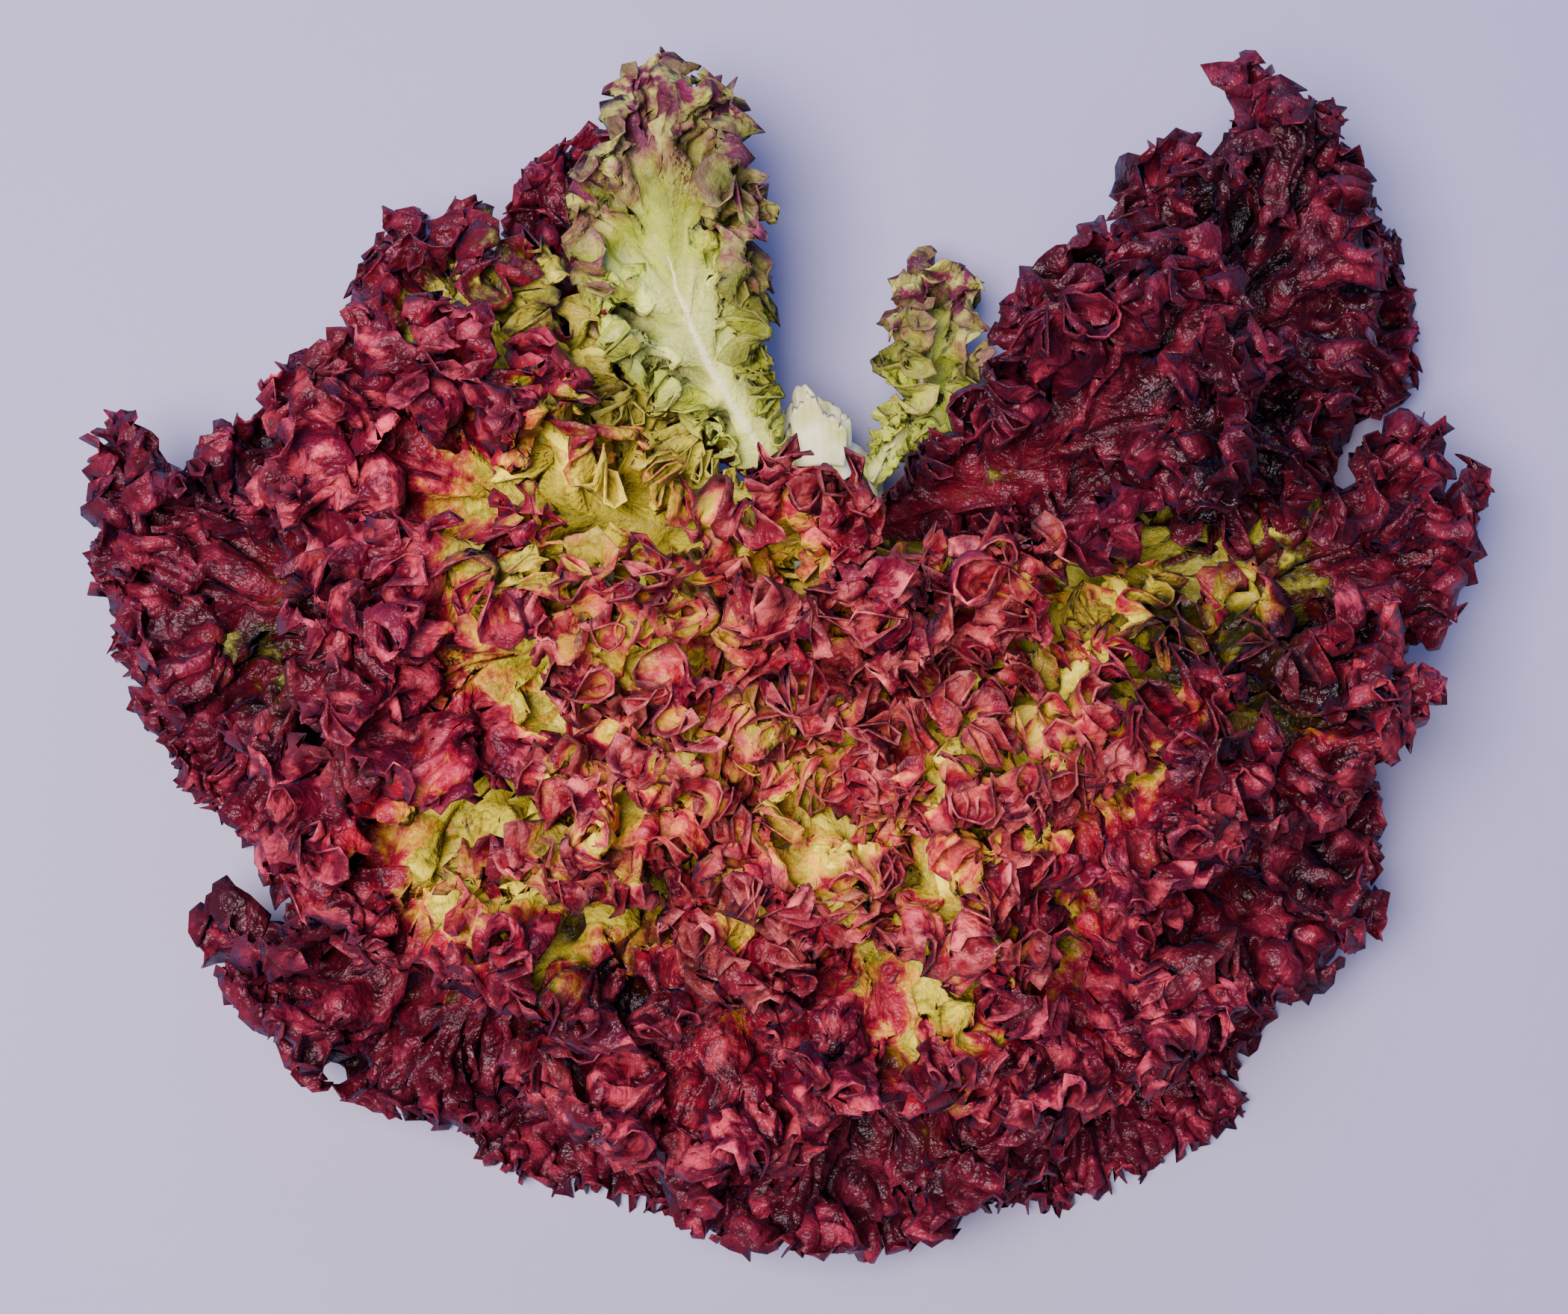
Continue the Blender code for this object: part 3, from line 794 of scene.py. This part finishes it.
    def phase(self, s: Array, v: Array) -> Array:
        """The frills' phase, which wanders so that no two frills match.

        Args:
            s: round the rim.
            v: from the midrib to the rim.

        Returns:
            The phase, in radians.
        """
        drift = self.PHASE_DRIFT * np.sin(self.DRIFT_WAVES * v + self.draw[0])
        cells = self.frill_strays * self.bumps(self.solid(s, v), self.stray_wide, 4)
        return self.frills * self.turns(s) + self.PHASE_STRAYS * self.stray(s, v, 0) + drift + cells

    def rolled(self, s: Array, v: Array) -> tuple[Array, Array, Array]:
        """How the rim rolls up and under.

        Args:
            s: round the rim.
            v: from the midrib to the rim.

        Returns:
            The share of the roll that is reached, its width and its angle at the rim.
        """
        outer_half = self.solid(s, np.ones_like(v)) - self.solid(s, np.full_like(v, 0.5))
        across = 2 * np.linalg.norm(outer_half, axis=1)
        roll = np.minimum(self.roll_wide * (1 + self.ROLL_VARIES * self.stray(s, v, 1)), self.ROLL_MOST * across)
        reached = np.clip(1 - (1 - v) * across / roll, 0, 1)
        swing = self.ring.upward + (1 - self.ring.upward) * np.sin(self.phase(s, v))
        angle = self.roll_turn * swing * (self.TURN_SHARE + self.TURN_VARIES * self.stray(s, v, 2)) * self.feet(s)
        return reached, roll, np.where(np.abs(angle) < self.LEAST_TURN, self.LEAST_TURN, angle)

    def frilled(self, s: Array, v: Array) -> Array:
        """The blade with its folds, its waves and its rim rolled into frills.

        Args:
            s: round the rim.
            v: from the midrib to the rim.

        Returns:
            The points.
        """
        up, along, out = self.axes(self.solid, s, v)
        phase = self.phase(s, v)
        feet = self.feet(s)
        reached, roll, angle = self.rolled(s, v)
        outward = roll * (np.sin(angle * reached) / angle - (1 - self.roll_longer * feet) * reached)
        upward = roll * (1 - np.cos(angle * reached)) / angle
        grow = np.clip((v - self.wave_from) / (1 - self.wave_from), 0, 1) ** self.WAVE_GROWTH * feet
        upward = upward + grow * self.wave_high * np.sin(phase + self.WAVE_BEHIND)
        over = -grow * self.frill_lean * np.sin(2 * phase)
        middle = climb(v, *self.FOLDS) * feet * (1 - self.FOLD_EASE * reached) * self.fold_high
        blade = self.solid(s, v)
        upward = upward + self.bumps(blade, self.fold, 0) * middle
        over = over + self.FOLD_SIDEWAYS * self.bumps(blade, self.fold, 1) * middle
        outward = outward + self.FOLD_SIDEWAYS * self.bumps(blade, self.fold, 2) * middle
        return blade + upward[:, None] * up + over[:, None] * along + outward[:, None] * out

    def surface(self, s: Array, v: Array) -> Array:
        """The frilled blade with its crinkles and with pointed teeth along the rim.

        Args:
            s: round the rim.
            v: from the midrib to the rim.

        Returns:
            The points.
        """
        up, along, out = self.axes(self.frilled, s, v)
        feet = self.feet(s)
        blade = self.solid(s, v)
        crinkle = self.crinkle_high * self.bumps(blade, self.crinkle, 2) * climb(v, *self.CRINKLES) * feet
        rim = climb(v, *self.RIM_CRINKLES) * feet * self.rim_crinkle_high
        folds = [rim * self.bumps(blade, self.rim_crinkle, k) for k in (3, 4, 5)]
        walk = (s + 1) / 2 * self.teeth
        tip = np.abs(2 * (walk % 1) - 1) ** self.TOOTH_SHARP - self.TOOTH_ROOT
        tooth = self.tooth_high * self.heights[np.round(walk).astype(int)] * tip * climb(v, *self.TEETH) * feet
        points = self.frilled(s, v) + (crinkle + folds[0])[:, None] * up + folds[1][:, None] * along
        points = points + (tooth + folds[2])[:, None] * out
        z = points[:, 2]
        ease = self.LOW - self.LEAST
        z = np.where(z < self.LOW, self.LEAST + ease * np.exp(np.minimum((z - self.LOW) / ease, 0)), z)
        top = self.HIGH + self.ROOM * (1 - np.exp(-np.maximum(z - self.HIGH, 0) / self.ROOM))
        points[:, 2] = np.where(z > self.HIGH, top, z)
        return points

    def grid(self) -> Piece:
        """Makes a flat strip: rows run along the rim, and the bands nearer the rim have more columns.

        Returns:
            The strip, 2 by 2 about its middle.
        """
        deselect()
        bpy.ops.mesh.primitive_grid_add(x_subdivisions=self.columns, y_subdivisions=len(self.rows) - 1, size=2)
        strip = bpy.context.object
        strip.name = f"frilled_{self.name}"
        strip.data.name = strip.name
        row_y = np.linspace(-1, 1, len(self.rows))
        first = 0
        for band in self.bands[:-1]:
            first += len(band)
            above = row_y[first] - 1 / len(self.rows) / 2
            cut_edges(strip, partial(self.in_band, above), 1)
        return strip

    @staticmethod
    def in_band(above: float, edge: bmesh.types.BMEdge) -> bool:
        """Whether an edge of the strip lies along its rows, above a place."""
        first, second = (vert.co.y for vert in edge.verts)
        return min(first, second) > above and abs(first - second) < 1e-5

    def build(self, material: bpy.types.Material) -> Piece:
        """Builds the leaf and lets it stand for its solid.

        Args:
            material: its finish.

        Returns:
            The finished leaf.
        """
        leaf = self.grid()
        flat = points_of(leaf)
        s = flat[:, 0]
        v = np.interp(flat[:, 1], np.linspace(-1, 1, len(self.rows)), self.rows)
        places = self.surface(s, v)
        place_points(leaf, places)
        _, _, y, _ = self.laid(s, v)
        for name, values in (("rimward", v), ("outward", y), ("tint", self.greener(places, s, v)),
                             ("painted_shading", self.painted_light_and_shade(places, s, v)), ("up", self.axes(self.frilled, s, v)[0])):
            keep(leaf, name, values)
        self.lay_out(leaf, s, v)
        rib = smooth(1 - v / self.RIB_FADE) * self.RIB_WEIGHT
        group = leaf.vertex_groups.new(name="rib")
        for k, weight in enumerate(rib):
            group.add([k], float(weight), "REPLACE")
        deselect()
        leaf.select_set(True)
        bpy.context.view_layer.objects.active = leaf
        in_edit_mode((bpy.ops.mesh.remove_doubles, {"threshold": self.MERGED}))
        wall = leaf.modifiers.new("blade", "SOLIDIFY")
        wall.thickness = self.RIB_THICK
        wall.offset = 0
        wall.vertex_group = "rib"
        wall.thickness_vertex_group = self.rim_thick / wall.thickness
        apply_modifiers(leaf)
        bpy.ops.object.shade_smooth()
        self.mark_underside(leaf)
        hand_over(leaf, self.name, material)
        return leaf

    def painted_light_and_shade(self, places: Array, s: Array, v: Array) -> Array:
        """Painted light and shade: a painted highlight high on the frills and folds, and painted shade in the
        hollows and at the painted shade places.

        Args:
            places: the leaf's points.
            s: round the rim.
            v: from the midrib to the rim.

        Returns:
            About -1 in a hollow to 1 on a crest.
        """
        blade = self.solid(s, v)
        painted_shading = self.ROLL_CREST * np.sin(self.phase(s, v)) * self.rolled(s, v)[0]
        painted_shading = painted_shading + self.FOLD_CREST * self.bumps(blade, self.fold, 0) * climb(v, *self.FOLDS)
        # the painted shade places are taken off here, so these spots come out darker
        return painted_shading + self.CRINKLE_CREST * self.bumps(blade, self.crinkle, 2) - patches(places, PAINTED_SHADE_PLACES)

    def greener(self, places: Array, s: Array, v: Array) -> Array:
        """How much greener each place is than the ring's finish, unevenly and less at the very rim.

        Args:
            places: the leaf's points.
            s: round the rim.
            v: from the midrib to the rim.

        Returns:
            A share of the way through the finish's colours.
        """
        tint = self.GREEN_SHARE * patches(places, GREEN_PLACES, self.GREEN_FALL)
        uneven = self.GREEN_EVEN + self.GREEN_UNEVEN * self.bumps(self.solid(s, v), self.fold, 3)
        return TINTS.get(self.name, 0.0) + tint * uneven * (1 - self.RIM_LESS * climb(v, *self.RIM_GREEN))

    @staticmethod
    def mark_underside(leaf: Piece) -> None:
        """Keeps 1 at the points of the blade's lower face and 0 at the others.

        Args:
            leaf: the leaf, with its blade's upward vectors at its points.
        """
        count = len(leaf.data.vertices)
        up = np.empty(count * 3)
        leaf.data.attributes["up"].data.foreach_get("vector", up)
        normals = np.empty(count * 3)
        leaf.data.vertices.foreach_get("normal", normals)
        under = (up.reshape(-1, 3) * normals.reshape(-1, 3)).sum(1) < 0
        leaf.data.attributes.remove(leaf.data.attributes["up"])
        keep(leaf, "under", under)

    @property
    def slot(self) -> str:
        """The leaf's material slot in the record."""
        return (Tissue.PALE if self.name in PALE_LEAVES else self.ring.tissue).value

    def lay_out(self, leaf: Piece, s: Array, v: Array) -> None:
        """Lays the blade out flat in its UV map, in millimetres along the rim and across the blade.

        Args:
            leaf: the flat strip with its points in place.
            s: round the rim.
            v: from the midrib to the rim.
        """
        layer = leaf.data.uv_layers.active or leaf.data.uv_layers.new()
        layer.name = "blade"
        corners = np.empty(len(leaf.data.loops), int)
        leaf.data.loops.foreach_get("vertex_index", corners)
        flat = np.stack([s * self.walked[-1] / 2, v * self.reach * self.UV_WIDE], -1) / MM
        layer.data.foreach_set("uv", flat[corners].astype(np.float32).ravel())


@dataclass(frozen=True)
class Stem:
    """The pale stem: turned, faintly ribbed, with a torn and fibrous end."""

    plan: HeadPlan = PLAN
    sides: int = 96
    rings: int = 40
    past_heart: float = 4 * MM
    end_rounding: float = 2 * MM
    end_narrower: float = 1.5 * MM
    top_share: float = 0.6  # of the narrow end
    torn_from: float = 0.86
    bowl_deep: float = 2.4 * MM

    RAGGED = (9, 0.8 * MM, 0), (23, 0.6 * MM, 1), (41, 0.4 * MM, 0)  # the tear's waves: number, height, start

    def build(self, material: bpy.types.Material) -> Piece:
        """Builds the stem in place of its solid.

        Args:
            material: its finish.

        Returns:
            The finished stem.
        """
        deselect()
        bpy.ops.mesh.primitive_cylinder_add(vertices=self.sides, radius=1, depth=2, end_fill_type="TRIFAN")
        stem = bpy.context.object
        stem.name = "fleshy_stem"
        cut_edges(stem, self.is_cut, self.rings)
        flat = points_of(stem)
        place_points(stem, self.shape(flat))
        keep(stem, "torn", climb(-flat[:, 2], self.torn_from, 1 - self.torn_from))
        in_edit_mode((bpy.ops.mesh.normals_make_consistent, {"inside": False}))
        bpy.ops.object.shade_smooth()
        hand_over(stem, "stem", material)
        return stem

    @staticmethod
    def is_cut(edge: bmesh.types.BMEdge) -> bool:
        """Whether an edge runs along the cylinder, or from the rim of its torn end to the middle."""
        low, high = sorted(vert.co.z for vert in edge.verts)
        inward = min(np.hypot(vert.co.x, vert.co.y) for vert in edge.verts) <= 0.5
        return high - low > 1 or (high < 0 and inward)

    def shape(self, flat: Array) -> Array:
        """Shapes the stem.

        Args:
            flat: the points of a plain cylinder, 2 high and 1 in radius.

        Returns:
            Their places on the stem.
        """
        plan = self.plan
        turn = np.arctan2(flat[:, 1], flat[:, 0])
        share = np.hypot(flat[:, 0], flat[:, 1])
        z = flat[:, 2]
        low, high = -plan.torn, plan.half + self.past_heart
        along = low + (z + 1) / 2 * (high - low)
        radius = np.interp(along, [low, low + self.end_rounding, -plan.half, plan.half, high],
                           [plan.wide - self.end_narrower, plan.wide, plan.wide, plan.narrow,
                            plan.narrow * self.top_share])
        radius = radius * (1 + waves(turn, ((5, 0.030, 0.7), (17, 0.012, 40 * along))))  # faint ribs, one twisted
        ragged = waves(turn, self.RAGGED)
        fibres = 0.5 * MM * np.sin(84 * share + 5 * turn) * share
        bowl = self.bowl_deep * (1 - smooth(share / 0.9)) + fibres
        along = along + np.where(z < -0.999, bowl + ragged * share**2, 0)
        side = np.array([1.0, 0.0, 0.0])
        up = np.cross(plan.axis, side)
        round_axis = np.cos(turn)[:, None] * side + np.sin(turn)[:, None] * up
        return np.array(plan.heart) + along[:, None] * plan.axis + (radius * share)[:, None] * round_axis


@dataclass(frozen=True)
class TornBase:
    """A stub of a leaf torn off the stem: short, fleshy, with an uneven fibrous edge."""

    number: int
    bearing: float
    half_width: float
    start: float
    angle: float
    length: float
    plan: HeadPlan = PLAN
    thick: float = 0.0022
    columns: int = 64
    rows: int = 20
    shorter: float = 0.35
    narrower: float = 0.25
    tear: float = 0.0022
    tear_from: float = 0.7
    brown_from: float = 0.55
    crimp: float = 0.3 * MM

    def build(self, material: bpy.types.Material) -> Piece:
        """Builds the stub in place of its solid.

        Args:
            material: its finish.

        Returns:
            The finished stub.
        """
        deselect()
        bpy.ops.mesh.primitive_grid_add(x_subdivisions=self.columns, y_subdivisions=self.rows, size=2)
        stub = bpy.context.object
        stub.name = f"fibrous_torn_base_{self.number}"
        flat = points_of(stub)
        x = flat[:, 0]
        out = (flat[:, 1] + 1) / 2
        teeth = waves(x, ((4.3, 0.8, self.number), (10.1, 0.4, 2), (31, 0.15, 0)))
        torn = teeth * self.tear * climb(out, self.tear_from, 1 - self.tear_from)
        distance = out * self.length * (1 - self.shorter * x**2) + torn
        around = radians(self.bearing) + x * radians(self.half_width) * (1 - self.narrower * out)
        along = self.start + distance * cos(radians(self.angle))
        across = self.plan.wide + self.plan.skin + self.thick / 2 + distance * sin(radians(self.angle))
        across = across + self.crimp * np.sin(26 * x) * out
        places = np.array(self.plan.heart) + along[:, None] * self.plan.axis
        place_points(stub, places + across[:, None] * self.plan.off_axis(around))
        keep(stub, "torn", climb(out, self.brown_from, 1 - self.brown_from))
        wall = stub.modifiers.new("flesh", "SOLIDIFY")
        wall.thickness = self.thick
        wall.offset = 0
        apply_modifiers(stub)
        in_edit_mode((bpy.ops.mesh.normals_make_consistent, {"inside": False}))
        bpy.ops.object.shade_smooth()
        hand_over(stub, f"torn_base_{self.number}", material)
        return stub


@dataclass(frozen=True)
class Studio:
    """A pale table, soft light from above and a bluish sky light, and a camera that looks down."""

    floor_size: float = 12.0
    floor_colour: str = "#807eaa"
    trowelled: float = 1 / 60  # width of its unevenness
    view_width: float = 0.320  # what the image is wide, at the head's middle height
    middle: tuple = (0.001, 0.0, 0.045)
    distance: float = 0.66
    sensor: float = 36.0
    tilt: float = radians(2)
    sky_colour: str = "#b8bcec"
    sky_strength: float = 0.50

    # Each lamp's place, size in metres, watts and colour
    LAMPS = {"warm_key": ((-0.35, 0.0, 1.35), 0.7, 66, "#fff0dc"),
             "cool_fill": ((0.2, 1.3, 0.9), 0.8, 16, "#9cc0ff")}

    def floor(self) -> None:
        """A pale painted plaster table: a faint trowelled unevenness keeps its light from looking flat."""
        deselect()
        bpy.ops.mesh.primitive_plane_add(size=self.floor_size)
        floor = bpy.context.object
        floor.name = "table_top"
        material, tree, add = new_material("painted_plaster")
        place = add("ShaderNodeTexCoord", out="Object")
        uneven = add("ShaderNodeTexNoise", {"Vector": place, "Scale": 1 / self.trowelled, "Detail": 3})
        bump = add("ShaderNodeBump", {"Strength": 0.12, "Distance": 2 * MM, "Height": uneven})
        shader = tree.nodes["Principled BSDF"]
        tree.links.new(bump, shader.inputs["Normal"])
        shader.inputs["Base Color"].default_value = linear(self.floor_colour)
        shader.inputs["Roughness"].default_value = 0.6
        floor.data.materials.append(material)

    def lights(self) -> None:
        """Adds the warm key from above and the cool fill from the back, both soft squares, and the sky."""
        for name, (place, size, power, colour) in self.LAMPS.items():
            light = bpy.data.lights.new(name, "AREA")
            light.size = size
            light.energy = power
            light.color = linear(colour)[:3]
            holder = bpy.data.objects.new(name, light)
            holder.location = place
            holder.rotation_euler = (-Vector(place)).to_track_quat("-Z", "Y").to_euler()
            bpy.context.scene.collection.objects.link(holder)
        world = bpy.data.worlds.new("sky")
        world.use_nodes = True
        background = world.node_tree.nodes["Background"]
        background.inputs["Color"].default_value = linear(self.sky_colour)
        background.inputs["Strength"].default_value = self.sky_strength
        bpy.context.scene.world = world

    def camera(self) -> None:
        """Adds the camera, nearly straight above."""
        data = bpy.data.cameras.new("camera")
        data.sensor_width = self.sensor
        data.lens = self.sensor * self.distance / self.view_width
        camera = bpy.data.objects.new("camera", data)
        away = Vector((0.0, -sin(self.tilt), cos(self.tilt)))
        camera.location = Vector(self.middle) + away * self.distance
        camera.rotation_euler = (self.tilt, 0, 0)
        bpy.context.scene.collection.objects.link(camera)
        bpy.context.scene.camera = camera


STUBS = ((95, 16, -0.016, 108, 0.013), (100, 26, -0.0225, 128, 0.010))


def main() -> None:
    """Builds and dresses every piece, then sets the table, the light and the camera."""
    logging.basicConfig(level=logging.INFO, format="%(message)s")
    finishes = {Tissue.MAROON: MAROON, Tissue.RED: RED, Tissue.ROSE: ROSE, Tissue.PALE: PALE,
                Tissue.FLESH: FleshFinish()}
    materials = {tissue.value: finish.make() for tissue, finish in finishes.items()}
    Stem().build(materials[Tissue.FLESH.value])
    for k, stub in enumerate(STUBS):
        TornBase(k + 1, *stub).build(materials[Tissue.FLESH.value])
    draws = np.random.default_rng(SEED)
    for ring in RINGS:
        for number in range(len(ring.leaves)):
            leaf = Leaf(ring, number, draws.uniform(0, 2 * pi, 2))
            leaf.build(materials[leaf.slot])
    studio = Studio()
    studio.floor()
    studio.lights()
    studio.camera()


if __name__ == "__main__":
    main()
